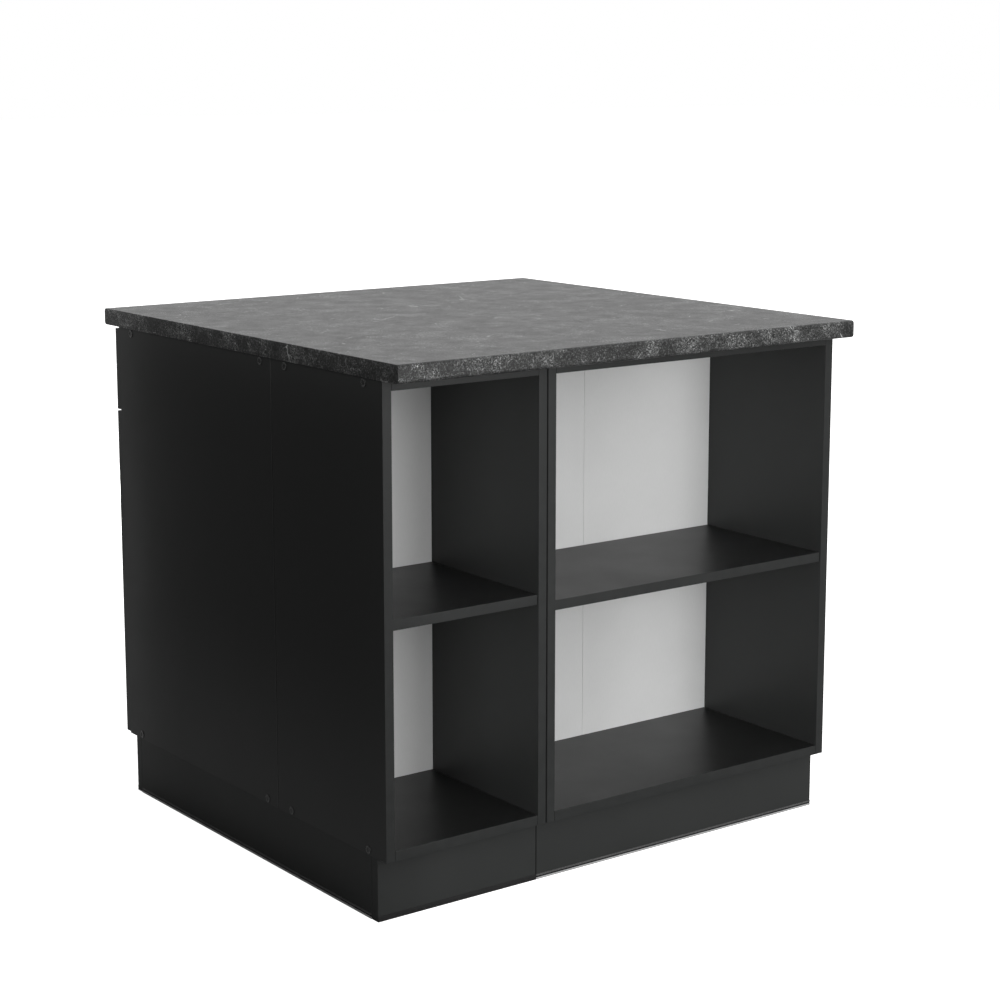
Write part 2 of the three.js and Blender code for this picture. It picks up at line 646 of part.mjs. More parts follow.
// The long boards run to the corners and cover the ends of the side boards.
function plinths() {
  const p = PLINTH;
  const left = [p.sideRecess + SEAL.sheet, p.sideRecess + SEAL.sheet + p.board];
  const right = [ISLAND_WIDTH - left[1], ISLAND_WIDTH - left[0]];
  const shelfY = [p.shelfRecess, p.shelfRecess + p.board];
  const doorY = [ISLAND_DEPTH - p.doorRecess - p.board, ISLAND_DEPTH - p.doorRecess];
  const sideY = [shelfY[1] + SEAT, doorY[0] - SEAT];
  for (const [name, xs] of [['plinth_left', left], ['plinth_right', right]]) {
    plinth(name, [xs, sideY], [grow(xs, SEAL.sheet), grow(sideY, -SEAL.sheet)]);
  }
  const ends = [left[0], right[1]];
  const split = (at) => [[ends[0], at - p.seam / 2], [at + p.seam / 2, ends[1]]];
  const [shelfNarrow, shelfWide] = split(NARROW_WIDTH);
  const [doorWide, doorNarrow] = split(WIDE_WIDTH);
  const fronts = [
    ['plinth_shelf_narrow', shelfNarrow, shelfY],
    ['plinth_shelf_wide', shelfWide, shelfY],
    ['plinth_door_wide', doorWide, doorY],
    ['plinth_door_narrow', doorNarrow, doorY],
  ];
  for (const [name, xs, ys] of fronts) {
    plinth(name, [xs, ys], [xs, grow(ys, SEAL.sheet)]);
  }
}

plinths();

// ---------------------------------------------------------------- placing

island.position.set(-ISLAND_WIDTH / 2, -(ISLAND_DEPTH + WORKTOP.doorOverhang - WORKTOP.frontOverhang) / 2, 0);

const part = new THREE.Group();
part.add(island);

export default part;
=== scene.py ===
"""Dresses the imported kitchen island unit: boards, milled fronts, worktop, fittings and studio."""

import logging
import math
from dataclasses import dataclass
from enum import Enum
from typing import Callable, Iterator, Sequence

import bmesh
import bpy
from mathutils import Matrix, Vector


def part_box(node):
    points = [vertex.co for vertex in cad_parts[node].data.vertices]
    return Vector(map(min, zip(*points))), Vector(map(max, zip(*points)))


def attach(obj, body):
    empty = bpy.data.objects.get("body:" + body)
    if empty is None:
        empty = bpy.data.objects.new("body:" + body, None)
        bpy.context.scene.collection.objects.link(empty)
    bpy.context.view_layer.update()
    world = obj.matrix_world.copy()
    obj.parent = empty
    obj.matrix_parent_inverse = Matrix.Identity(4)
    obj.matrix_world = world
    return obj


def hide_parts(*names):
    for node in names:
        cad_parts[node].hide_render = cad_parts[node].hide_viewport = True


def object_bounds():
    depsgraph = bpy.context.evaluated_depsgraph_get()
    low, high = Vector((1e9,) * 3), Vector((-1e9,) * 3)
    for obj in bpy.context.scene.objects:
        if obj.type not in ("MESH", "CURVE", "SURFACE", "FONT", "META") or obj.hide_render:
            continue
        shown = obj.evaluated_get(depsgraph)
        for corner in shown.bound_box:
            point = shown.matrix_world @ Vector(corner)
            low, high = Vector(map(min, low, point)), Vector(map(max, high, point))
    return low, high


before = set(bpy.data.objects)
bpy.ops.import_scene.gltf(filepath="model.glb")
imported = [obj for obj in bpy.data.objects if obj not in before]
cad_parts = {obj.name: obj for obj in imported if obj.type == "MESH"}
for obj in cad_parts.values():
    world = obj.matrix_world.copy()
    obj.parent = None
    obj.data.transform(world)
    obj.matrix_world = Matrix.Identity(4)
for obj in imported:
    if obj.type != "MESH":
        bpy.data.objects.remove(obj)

LOG = logging.getLogger("island")
MM = 0.001
CAD_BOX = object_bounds()
CARCASS = "carcass"

# The distance and angle within which a solid's points and faces are joined.
MERGE = 0.002 * MM
FLAT = math.radians(0.5)

# Parts of a noise's range that are spread over nought to one.
WIDE = (0.25, 0.75)
MIDDLE = (0.3, 0.7)
NARROW = (0.35, 0.65)

Mesh = bmesh.types.BMesh
Colour = tuple[float, float, float]
Point = tuple[float, float, float]
# Radius and height of each point, in metres.
Profile = list[tuple[float, float]]
# Radius and height of each point, in millimetres.
Outline = tuple[tuple[float, float], ...]
# Width in metres, steps, and least angle in degrees of an edge that is rounded.
Rounding = tuple[float, int, float]


class Axis(Enum):
    """A row axis that a round piece stands along: the turn that takes Z to it."""

    X = (math.pi / 2, "Y")
    Y = (-math.pi / 2, "X")
    Z = (0.0, "Z")


class Facing(Enum):
    """The long side of the island that a unit opens to: its sign along Y."""

    SHELF_SIDE = -1
    DOOR_SIDE = 1


class Slot(Enum):
    """The material slot of the solids that a piece belongs to."""

    BOARD = "graphite_board"
    PLINTH = "plinth_board"
    FRONT = "graphite_front"
    DRAWER = "drawer_board"
    BACK = "hardboard_back"
    WORKTOP = "worktop_laminate"
    HANDLE = "black_handle"
    HINGE = "nickel_hinge"
    RUNNER = "zinc_runner"


# ---- shader wrapper


class Value:
    """A node socket that adds Math nodes when it is used in arithmetic."""

    def __init__(self, graph: "Graph", socket: bpy.types.NodeSocket) -> None:
        """Keeps the socket and the graph that it belongs to."""
        self.graph = graph
        self.socket = socket

    def _math(self, operation: str, *values: "Number") -> "Value":
        """Adds one Math node with its inputs in order."""
        settings = {"operation": operation}
        return self.graph.node("ShaderNodeMath", settings, dict(enumerate(values)))

    def __add__(self, other: "Number") -> "Value":
        """Adds a number or value."""
        return self._math("ADD", self, other)

    __radd__ = __add__

    def __sub__(self, other: "Number") -> "Value":
        """Subtracts a number or value."""
        return self._math("SUBTRACT", self, other)

    def __rsub__(self, other: "Number") -> "Value":
        """Subtracts this value from a number."""
        return self._math("SUBTRACT", other, self)

    def __mul__(self, other: "Number") -> "Value":
        """Multiplies by a number or value."""
        return self._math("MULTIPLY", self, other)

    __rmul__ = __mul__

    def __abs__(self) -> "Value":
        """Drops the sign."""
        return self._math("ABSOLUTE", self)

    def at_least(self, other: "Number") -> "Value":
        """Takes the larger of this and a number or value."""
        return self._math("MAXIMUM", self, other)

    def band(self, low: float, high: float, start: float = 0.0, end: float = 1.0) -> "Value":
        """Maps low..high smoothly to start..end.

        Args:
            low: The input that gives start.
            high: The input that gives end.
            start: The result at low.
            end: The result at high.

        Returns:
            The mapped value, held at the ends outside the range.
        """
        settings = {"interpolation_type": "SMOOTHSTEP", "clamp": True}
        inputs = {0: self, 1: low, 2: high, 3: start, 4: end}
        return self.graph.node("ShaderNodeMapRange", settings, inputs)


Number = Value | float
Tint = Value | Colour
Input = Value | float | Sequence[float]


class Graph:
    """Adds nodes to a node tree."""

    def __init__(self, tree: bpy.types.NodeTree) -> None:
        """Keeps the tree."""
        self.tree = tree

    def node(
        self,
        kind: str,
        settings: dict[str, object],
        inputs: dict[int | str, Input],
        output: int | str = 0,
    ) -> Value:
        """Adds any node.

        Args:
            kind: The node's type.
            settings: Its own properties, set before the sockets.
            inputs: A value or link for each socket, by name or number.
            output: The socket to return.

        Returns:
            The chosen output.
        """
        made = self.tree.nodes.new(kind)
        for key, value in settings.items():
            setattr(made, key, value)
        for key, value in inputs.items():
            if isinstance(value, Value):
                self.tree.links.new(value.socket, made.inputs[key])
            else:
                made.inputs[key].default_value = value
        return Value(self, made.outputs[output])

    def seen(self) -> Value:
        """Gives one to the camera's own rays and nought to all others."""
        return self.node("ShaderNodeLightPath", {}, {}, "Is Camera Ray")


class Shader(Graph):
    """Builds one procedural material."""

    def __init__(self, name: str) -> None:
        """Starts a node tree that holds its output and main shader."""
        self.material = bpy.data.materials.new(name)
        self.material.use_nodes = True
        super().__init__(self.material.node_tree)
        self.tree.nodes.clear()
        output = self.tree.nodes.new("ShaderNodeOutputMaterial")
        self.surface = self.tree.nodes.new("ShaderNodeBsdfPrincipled")
        self.tree.links.new(self.surface.outputs[0], output.inputs[0])

    def place(self) -> Value:
        """Gives the point's coordinates on its own piece, in metres."""
        return self.node("ShaderNodeTexCoord", {}, {}, "Object")

    def noise(
        self, scale: float | Point, detail: float, rough: float = 0.5, at: Value | None = None
    ) -> Value:
        """Adds a noise texture.

        Args:
            scale: Features per metre, along each axis where they are stretched.
            detail: Octaves.
            rough: How strong the finer octaves are.
            at: Where to read it, the piece's own coordinates if left out.

        Returns:
            A value round one half.
        """
        where = self.place() if at is None else at
        if isinstance(scale, tuple):
            where = self.node("ShaderNodeMapping", {}, {"Vector": where, "Scale": scale})
            scale = 1.0
        inputs = {"Vector": where, "Scale": scale, "Detail": detail, "Roughness": rough}
        return self.node("ShaderNodeTexNoise", {}, inputs, "Fac")

    def warped(self, scale: float, amount: float) -> Value:
        """Gives the piece's coordinates, pushed about by a coloured noise.

        Args:
            scale: Features of the noise per metre.
            amount: The push in metres.

        Returns:
            The warped coordinates.
        """
        inputs = {"Vector": self.place(), "Scale": scale, "Detail": 4.0}
        push = self.node("ShaderNodeTexNoise", {}, inputs, "Color")
        settings = {"operation": "MULTIPLY_ADD"}
        inputs = {0: push, 1: (amount,) * 3, 2: self.place()}
        return self.node("ShaderNodeVectorMath", settings, inputs)

    def mix(self, factor: Number, low: Tint, high: Tint) -> Value:
        """Mixes two colours.

        Args:
            factor: How much of the second colour shows.
            low: The first colour.
            high: The second colour.

        Returns:
            The mixed colour.
        """
        low, high = ((*c, 1.0) if isinstance(c, tuple) else c for c in (low, high))
        inputs = {0: factor, 6: low, 7: high}
        return self.node("ShaderNodeMix", {"data_type": "RGBA"}, inputs, 2)

    def bump(self, height: Number, distance: float) -> Value:
        """Turns a height into a normal, one standing for the distance in metres."""
        return self.node("ShaderNodeBump", {}, {"Height": height, "Distance": distance})

    def set(self, **sockets: Input) -> bpy.types.Material:
        """Sets the main shader's sockets, an underscore standing for a space.

        Args:
            sockets: A value or link for each socket.

        Returns:
            The finished material.
        """
        for key, value in sockets.items():
            socket = self.surface.inputs[key.replace("_", " ")]
            if isinstance(value, Value):
                self.tree.links.new(value.socket, socket)
            else:
                socket.default_value = (*value, 1.0) if isinstance(value, tuple) else value
        return self.material


def grey(level: float) -> Colour:
    """Gives a neutral colour."""
    return (level, level, level)


# ---- finishes


@dataclass(frozen=True)
class Layer:
    """One noise in a finish, and what it adds to the colour, the sheen and the relief."""

    # Features per metre, octaves, and how strong the finer octaves are.
    scale: float | Point
    detail: float = 2.0
    finer: float = 0.5
    # The part of its range that tints, and its shares of the tint and the height.
    spread: tuple[float, float] = MIDDLE
    tone: float = 0.0
    height: float = 0.0
    # What it adds to the roughness: from its middle, and from low..high to start..end.
    wobble: float = 0.0
    sheen: tuple[float, float, float, float] | None = None


@dataclass(frozen=True)
class Coating:
    """A finish whose colour wanders between a dark and a light tone."""

    name: str
    dark: Colour
    light: Colour
    rough: float = 0.5
    specular: float = 0.3
    metallic: float = 0.0
    relief: float = 0.03 * MM
    layers: tuple[Layer, ...] = ()

    def material(self) -> bpy.types.Material:
        """Makes the material from its layers.

        Returns:
            The material.
        """
        shader = Shader(self.name)
        tone, rough, height = 0.0, self.rough, 0.0
        for layer in self.layers:
            noise = shader.noise(layer.scale, layer.detail, layer.finer)
            if layer.tone:
                tone = tone + noise.band(*layer.spread) * layer.tone
            if layer.sheen:
                rough = rough + noise.band(*layer.sheen)
            if layer.wobble:
                rough = rough + (noise - 0.5) * layer.wobble
            if layer.height:
                height = height + noise * layer.height
        return self.coat(shader, shader.mix(tone, self.dark, self.light), rough, height)

    def coat(self, shader: Shader, colour: Value, rough: Value, height: Value) -> bpy.types.Material:
        """Finishes the material with a surface's colour, roughness and height."""
        return shader.set(
            Base_Color=colour,
            Roughness=rough,
            Metallic=self.metallic,
            Specular_IOR_Level=self.specular,
            Normal=shader.bump(height, self.relief),
        )


@dataclass(frozen=True)
class Board(Coating):
    """Melamine-faced chipboard: a fine pearl grain with faint cloudy wear."""

    layers: tuple[Layer, ...] = (
        Layer(900.0, 2.0, 0.6, NARROW, tone=0.45, height=1.0, wobble=0.08),
        Layer(7.0, 4.0, 0.55, tone=0.55, sheen=(*WIDE, -0.03, 0.03)),
    )


@dataclass(frozen=True)
class EdgeBand(Coating):
    """Plastic edging on a board's edge: smoother than the face, with faint drag lines."""

    rough: float = 0.42
    specular: float = 0.35
    relief: float = 0.02 * MM
    layers: tuple[Layer, ...] = (
        Layer((60.0, 900.0, 60.0), 3.0, 0.6, tone=0.6, height=1.0, sheen=(*MIDDLE, -0.04, 0.06)),
        Layer(1400.0, 2.0, 0.5, NARROW, tone=0.4),
    )


@dataclass(frozen=True)
class MilledFilm(Coating):
    """Soft matt film pressed over milled fibreboard: leather grain, orange peel and clouds."""

    rough: float = 0.55
    specular: float = 0.4
    relief: float = 0.05 * MM
    layers: tuple[Layer, ...] = (
        Layer(1600.0, 2.0, 0.55, NARROW, tone=0.3, height=0.35),
        Layer(240.0, height=0.65),
        Layer(5.0, 4.0, tone=0.7, sheen=(*WIDE, -0.05, 0.06)),
    )


@dataclass(frozen=True)
class Hardboard(Coating):
    """Painted thin hardboard: smooth pale paint with faint fibres and roller stipple."""

    rough: float = 0.42
    specular: float = 0.4
    layers: tuple[Layer, ...] = (
        Layer((700.0, 700.0, 90.0), 4.0, 0.6, tone=0.4, height=0.4),
        Layer(1100.0, height=0.6),
        Layer(6.0, 3.0, tone=0.6, sheen=(*MIDDLE, 0.0, 0.1)),
    )


@dataclass(frozen=True)
class Metal(Coating):
    """Plated, lacquered or rolled metal with fine drawn lines and handling marks."""

    specular: float = 0.5
    metallic: float = 1.0
    relief: float = 0.01 * MM
    layers: tuple[Layer, ...] = (
        Layer((500.0, 500.0, 60.0), 3.0, 0.6, tone=0.5, height=1.0, wobble=0.1),
        Layer(45.0, 4.0, 0.6, tone=0.5, sheen=(0.3, 0.75, -0.06, 0.1)),
    )


def skin(scale: float) -> tuple[Layer, ...]:
    """Gives the layers of plastic whose skin has some number of features per metre."""
    fine = Layer(scale, tone=0.4, height=1.0, sheen=(*MIDDLE, -0.05, 0.07))
    return fine, Layer(30.0, 3.0, tone=0.6)


@dataclass(frozen=True)
class Plastic(Coating):
    """Moulded or extruded plastic with a light texture."""

    specular: float = 0.5
    layers: tuple[Layer, ...] = skin(800.0)


@dataclass(frozen=True)
class CapPlastic(Plastic):
    """Moulded plastic with a coarser skin."""

    layers: tuple[Layer, ...] = skin(600.0)


@dataclass(frozen=True)
class Stone(Coating):
    """Dark clouded stone laminate: mottled ground, lighter grainy patches and pale cracks."""

    rough: float = 0.36
    specular: float = 0.42
    relief: float = 0.06 * MM
    fleck: Colour = (0.62, 0.628, 0.623)
    clouds: float = 26.0
    mottles: float = 210.0
    patches: float = 19.0
    webs: float = 180.0
    web_width: float = 0.035
    grains: float = 440.0
    crack_cells: float = 16.0
    crack_width: float = 0.022
    crack_fields: float = 23.0
    hair_cells: float = 38.0
    hair_width: float = 0.03
    hair_fields: float = 41.0
    rare: tuple[float, float] = (0.6, 0.68)

    def material(self) -> bpy.types.Material:
        """Makes the material: web, grain and cracks over a mottled ground.

        Returns:
            The material.
        """
        shader = Shader(self.name)
        bent = shader.warped(11.0, 50 * MM)
        frayed = shader.warped(90.0, 8 * MM)
        cloud = shader.noise(self.clouds, 6.0, 0.66, bent)
        mottle = shader.noise(self.mottles, 6.0, 0.75, frayed)
        patch = shader.noise(self.patches, 5.0, 0.68, bent).band(0.42, 0.7)
        web = self.line(abs(shader.noise(self.webs, 5.0, 0.7, frayed) - 0.5), self.web_width)
        grit = shader.noise(self.grains, 3.0, 0.65, frayed).band(0.54, 0.6)
        crack = self.cracks(shader, frayed, self.crack_cells, self.crack_width)
        crack *= shader.noise(self.crack_fields, 3.0).band(*self.rare)
        hair = self.cracks(shader, bent, self.hair_cells, self.hair_width)
        hair *= shader.noise(self.hair_fields, 3.0).band(*self.rare)
        flecks = grit * (0.17 + 0.48 * patch) * mottle.band(0.4, 0.56)
        flecks += web * (0.05 + 0.3 * patch)
        tone = cloud.band(*MIDDLE) * 0.25 + mottle.band(0.42, 0.6) * 0.6 + patch * 0.3
        speckled = shader.mix(flecks, shader.mix(tone, self.dark, self.light), self.fleck)
        worn = cloud.band(*MIDDLE, self.rough - 0.03, self.rough + 0.05)
        veined = shader.mix(crack * 0.75 + hair * 0.35, speckled, self.fleck)
        return self.coat(shader, veined, worn + flecks * 0.06, grit * 0.5 + mottle * 0.5)

    @staticmethod
    def line(away: Value, width: float) -> Value:
        """Draws a thin line where a distance is nought, fading over its width."""
        return away.band(0.0, width, 1.0, 0.0)

    def cracks(self, shader: Shader, at: Value, cells: float, width: float) -> Value:
        """Draws thin lines along the borders of irregular cells.

        Args:
            shader: The shader to add to.
            at: The warped coordinates to read.
            cells: Cells per metre.
            width: The line's width as a share of a cell.

        Returns:
            One on the lines and nought off them.
        """
        settings = {"feature": "DISTANCE_TO_EDGE"}
        border = shader.node("ShaderNodeTexVoronoi", settings, {"Vector": at, "Scale": cells})
        return self.line(border, width)


class Look(Enum):
    """A finish that a piece can wear."""

    BOARD = Board("graphite_board_face", (0.023, 0.0239, 0.0235), (0.0275, 0.0286, 0.0281), 0.42)
    # Painted shade: a darker copy of the same graphite board colour, worn by shelves and bottoms.
    SHELF = Board("graphite_shelf_painted_shade", (0.0078, 0.0081, 0.008), (0.0102, 0.0106, 0.0104), 0.4, 0.4)
    PLINTH = Board("graphite_plinth_board", (0.0212, 0.0225, 0.0219), (0.025, 0.0265, 0.0258), 0.48)
    # Painted highlight: a lighter copy of the board colour on the outer sides' rounded rear arris,
    # standing in for light caught by the edge and hiding the groove's shade.
    LIT_ARRIS = Board("board_arris_painted_highlight", (0.075, 0.077, 0.076), (0.09, 0.0925, 0.091), 0.42)
    # Painted shade: a near-black copy of the board colour on the arris in the front joint between
    # units, standing in for the groove's shadow.
    SHADED_GAP = Board("shaded_board_arris", (0.003, 0.0032, 0.0031), (0.005, 0.0053, 0.0051), 0.6)
    DRAWER_BOARD = Board("grey_drawer_board", (0.24, 0.245, 0.24), (0.29, 0.295, 0.29))
    EDGE = EdgeBand("graphite_edge_band", (0.0148, 0.0158, 0.0154), (0.0184, 0.0196, 0.0192))
    FRONT = MilledFilm("graphite_front_film", (0.031, 0.0322, 0.0318), (0.038, 0.0392, 0.0388))
    STONE = Stone("stone_laminate", (0.002, 0.0022, 0.0021), (0.0158, 0.0164, 0.0161))
    HARDBOARD = Hardboard("painted_hardboard", (0.8, 0.805, 0.8), (0.86, 0.865, 0.86))
    BLACK_METAL = Metal(
        "black_lacquer", (0.006, 0.006, 0.0065), (0.011, 0.011, 0.0115), 0.3, metallic=0.25
    )
    NICKEL = Metal("nickel_plate", (0.5, 0.49, 0.47), (0.62, 0.61, 0.59), 0.28)
    ZINC = Metal("rolled_zinc", (0.42, 0.43, 0.44), (0.55, 0.56, 0.57), 0.38)
    CAP = CapPlastic("graphite_cap", (0.012, 0.0124, 0.0122), (0.017, 0.0176, 0.0173), 0.3, 0.6)
    # Painted highlight: a lighter plastic colour on the raised rim of each cap.
    CAP_RIM_LIT = CapPlastic("cap_rim_painted_highlight", (0.05, 0.0515, 0.0508), (0.065, 0.067, 0.066), 0.28, 0.8)
    FOOT = Plastic("black_foot_plastic", grey(0.012), grey(0.02), 0.5)
    CLEAR_SEAL = Plastic("pale_seal_plastic", grey(0.36), grey(0.44), 0.25)
    GREY_SEAL = Plastic("grey_seal_plastic", grey(0.07), grey(0.095), 0.25)
    DARK_SEAL = Plastic("dark_seal_plastic", grey(0.002), grey(0.005), 0.6, 0.1)
    SOFT_SEAL = Plastic("soft_seal_plastic", grey(0.013), grey(0.017), 0.5, 0.3)
    BUMPER = Plastic("clear_bumper", grey(0.45), grey(0.55), 0.2)


class Palette:
    """Makes each finish once and hands it out."""

    def __init__(self) -> None:
        """Starts with nothing made."""
        self.made: dict[Look, bpy.types.Material] = {}

    def get(self, look: Look) -> bpy.types.Material:
        """Gives the material of a finish, making it the first time."""
        if look not in self.made:
            self.made[look] = look.value.material()
        return self.made[look]


PALETTE = Palette()


# ---- mesh helpers


class Piece:
    """One visible piece: a mesh, its finishes, the body it rides on and what it stands for."""

    def __init__(self, name: str, body: str, slot: Slot, *looks: Look) -> None:
        """Starts an empty mesh for the named piece."""
        self.name = name
        self.body = body
        self.slot = slot.value
        self.looks = looks
        self.mesh = bmesh.new()

    def add(self, other: Mesh, look: int = 0) -> "Piece":
        """Adds another mesh to this piece and frees it.

        Args:
            other: The mesh to add.
            look: Which of the piece's finishes it wears.

        Returns:
            This piece.
        """
        if look:
            for face in other.faces:
                face.material_index = look
        joined = bpy.data.meshes.new("part")
        other.to_mesh(joined)
        other.free()
        self.mesh.from_mesh(joined)
        bpy.data.meshes.remove(joined)
        return self

    def done(self, *nodes: str, smooth: float = 30.0) -> None:
        """Turns the mesh into an object that rides on its body.

        Args:
            nodes: The nodes that it stands for.
            smooth: The angle in degrees below which edges are shaded smooth.
        """
        bmesh.ops.recalc_face_normals(self.mesh, faces=self.mesh.faces)
        limit = math.radians(smooth)
        for face in self.mesh.faces:
            face.smooth = True
        for edge in self.mesh.edges:
            edge.smooth = edge.is_manifold and edge.calc_face_angle(0.0) < limit
        made = mesh_object(self.name, self.mesh)
        for look in self.looks:
            made.data.materials.append(PALETTE.get(look))
        flats = made.modifiers.new("flats", "WEIGHTED_NORMAL")
        flats.keep_sharp = True
        flats.weight = 100
        if nodes:
            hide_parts(*nodes)
        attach(made, self.body)
        LOG.info("%s: %d faces on %s", self.name, len(made.data.polygons), self.body)


def mesh_object(name: str, mesh: Mesh) -> bpy.types.Object:
    """Puts a mesh into the scene as an object and frees it.

    Args:
        name: The object's name.
        mesh: The mesh.

    Returns:
        The new object.
    """
    data = bpy.data.meshes.new(name)
    mesh.to_mesh(data)
    mesh.free()
    made = bpy.data.objects.new(name, data)
    bpy.context.scene.collection.objects.link(made)
    return made


def box_mesh(low: Sequence[float], high: Sequence[float]) -> Mesh:
    """Makes a box between two corners.

    Args:
        low: The lowest corner in metres.
        high: The highest corner in metres.

    Returns:
        The box's mesh.
    """
    mesh = bmesh.new()
    bmesh.ops.create_cube(mesh, size=1.0)
    size = Vector(high) - Vector(low)
    middle = (Vector(high) + Vector(low)) / 2
    matrix = Matrix.Translation(middle) @ Matrix.Diagonal((*size, 1.0))
    bmesh.ops.transform(mesh, matrix=matrix, verts=mesh.verts)
    return mesh


def round_off(mesh: Mesh, edges: list[bmesh.types.BMEdge], width: float, steps: int) -> None:
    """Rounds the given edges of a mesh by a width in metres."""
    shape = {"profile": 0.5, "affect": "EDGES", "clamp_overlap": True}
    bmesh.ops.bevel(mesh, geom=edges, offset=width, segments=steps, **shape)


def soften(mesh: Mesh, width: float, steps: int = 2, least: float = 60.0) -> None:
    """Rounds a mesh's sharp outer edges.

    Args:
        mesh: The mesh to change.
        width: The rounding in metres.
        steps: Steps in the rounding.
        least: The least angle in degrees of an edge that is rounded.
    """
    limit = math.radians(least)
    outer = (e for e in mesh.edges if e.is_manifold and e.is_convex)
    round_off(mesh, [e for e in outer if e.calc_face_angle(0.0) > limit], width, steps)


def node_mesh(node: str) -> Mesh:
    """Copies a node's solid with its flat faces joined.

    Args:
        node: The node's name.

    Returns:
        The copy.
    """
    mesh = bmesh.new()
    mesh.from_mesh(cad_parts[node].data)
    bmesh.ops.remove_doubles(mesh, verts=mesh.verts, dist=MERGE)
    bmesh.ops.dissolve_limit(mesh, angle_limit=FLAT, verts=mesh.verts, edges=mesh.edges)
    return mesh


def dress(
    node: str,
    kind: str,
    body: str,
    slot: Slot,
    look: Look,
    rounding: Rounding | None = None,
    smooth: float = 30.0,
) -> None:
    """Dresses a node with a copy of its own solid.

    Args:
        node: The node's name.
        kind: What the piece is, for its name.
        body: The body that it rides on.
        slot: Its material slot.
        look: Its finish.
        rounding: Width, steps and least angle of its rounded edges, none if left out.
        smooth: The angle in degrees below which edges are shaded smooth.
    """
    mesh = node_mesh(node)
    if rounding:
        soften(mesh, *rounding)
    Piece(f"{node}_{kind}", body, slot, look).add(mesh).done(node, smooth=smooth)


def loft_mesh(rings: Sequence[Sequence[Point]]) -> Mesh:
    """Joins rings of points into a closed bar.

    Args:
        rings: The rings in order, each with as many points.

    Returns:
        The bar's mesh.
    """
    mesh = bmesh.new()
    loops = [[mesh.verts.new(point) for point in ring] for ring in rings]
    for one, two in zip(loops, loops[1:]):
        for i in range(len(one)):
            j = (i + 1) % len(one)
            mesh.faces.new((one[i], one[j], two[j], two[i]))
    mesh.faces.new(list(reversed(loops[0])))
    mesh.faces.new(loops[-1])
    return mesh


def profile(outline: Outline, start: float = 0.0, hand: int = 1) -> Profile:
    """Gives an outline's profile from a start height in metres, turned over if hand is -1."""
    return [(radius * MM, start + hand * height * MM) for radius, height in outline]


def turned_mesh(points: Profile, axis: Axis, at: Sequence[float], sides: int) -> Mesh:
    """Turns a profile about an axis.

    Args:
        points: Radius and height of each point in metres, from the axis back to the axis.
        axis: The row axis to turn about.
        at: The point where height is nought.
        sides: Steps round the axis.

    Returns:
        The closed mesh.
    """
    mesh = bmesh.new()
    angles = [2 * math.pi * i / sides for i in range(sides)]
    rings = []
    for radius, height in points:
        ways = [(math.cos(a), math.sin(a)) for a in angles] if radius else [(0.0, 0.0)]
        rings.append([mesh.verts.new((radius * c, radius * s, height)) for c, s in ways])
    for low, high in zip(rings, rings[1:]):
        for i in range(sides):
            j = (i + 1) % sides
            corners = (low[i % len(low)], low[j % len(low)])
            corners += (high[j % len(high)], high[i % len(high)])
            unique = list(dict.fromkeys(corners))
            if len(unique) > 2:
                mesh.faces.new(unique)
    angle, about = axis.value
    matrix = Matrix.Translation(at) @ Matrix.Rotation(angle, 4, about)
    bmesh.ops.transform(mesh, matrix=matrix, verts=mesh.verts)
    return mesh


# ---- carcasses


@dataclass(frozen=True)
class Foot:
    """A levelling foot: a pad, a screwed stem, a ring and a socket, in millimetres."""

    pad: Outline = ((0, 0), (26, 0), (28, 1.5), (28, 4), (25, 5.5), (17, 8), (12, 10))
    stem_from: float = 11.0
    pitch: float = 2.6
    turns: int = 12
    thread: Outline = ((12, 0), (13.2, 0.91), (12, 1.82))
    ring: Outline = ((17.5, 0), (18.5, 1), (18.5, 11), (17.5, 12), (15, 14))
    socket: Outline = ((15, -9), (23, -5), (24, -3), (24, -0.1), (0, -0.1))
    sides: int = 28

    def mesh(self, at: Point, top: float) -> Mesh:
        """Makes one foot.

        Args:
            at: The point on the floor under its middle.
            top: The height of the board that it carries.

        Returns:
            The foot's mesh.
        """
        points = profile(self.pad)
        for turn in range(self.turns):
            points += profile(self.thread, (self.stem_from + turn * self.pitch) * MM)
        points += profile(self.ring, (self.stem_from + self.turns * self.pitch) * MM)
        points += profile(self.socket, top)
        return turned_mesh(points, Axis.Z, at, self.sides)


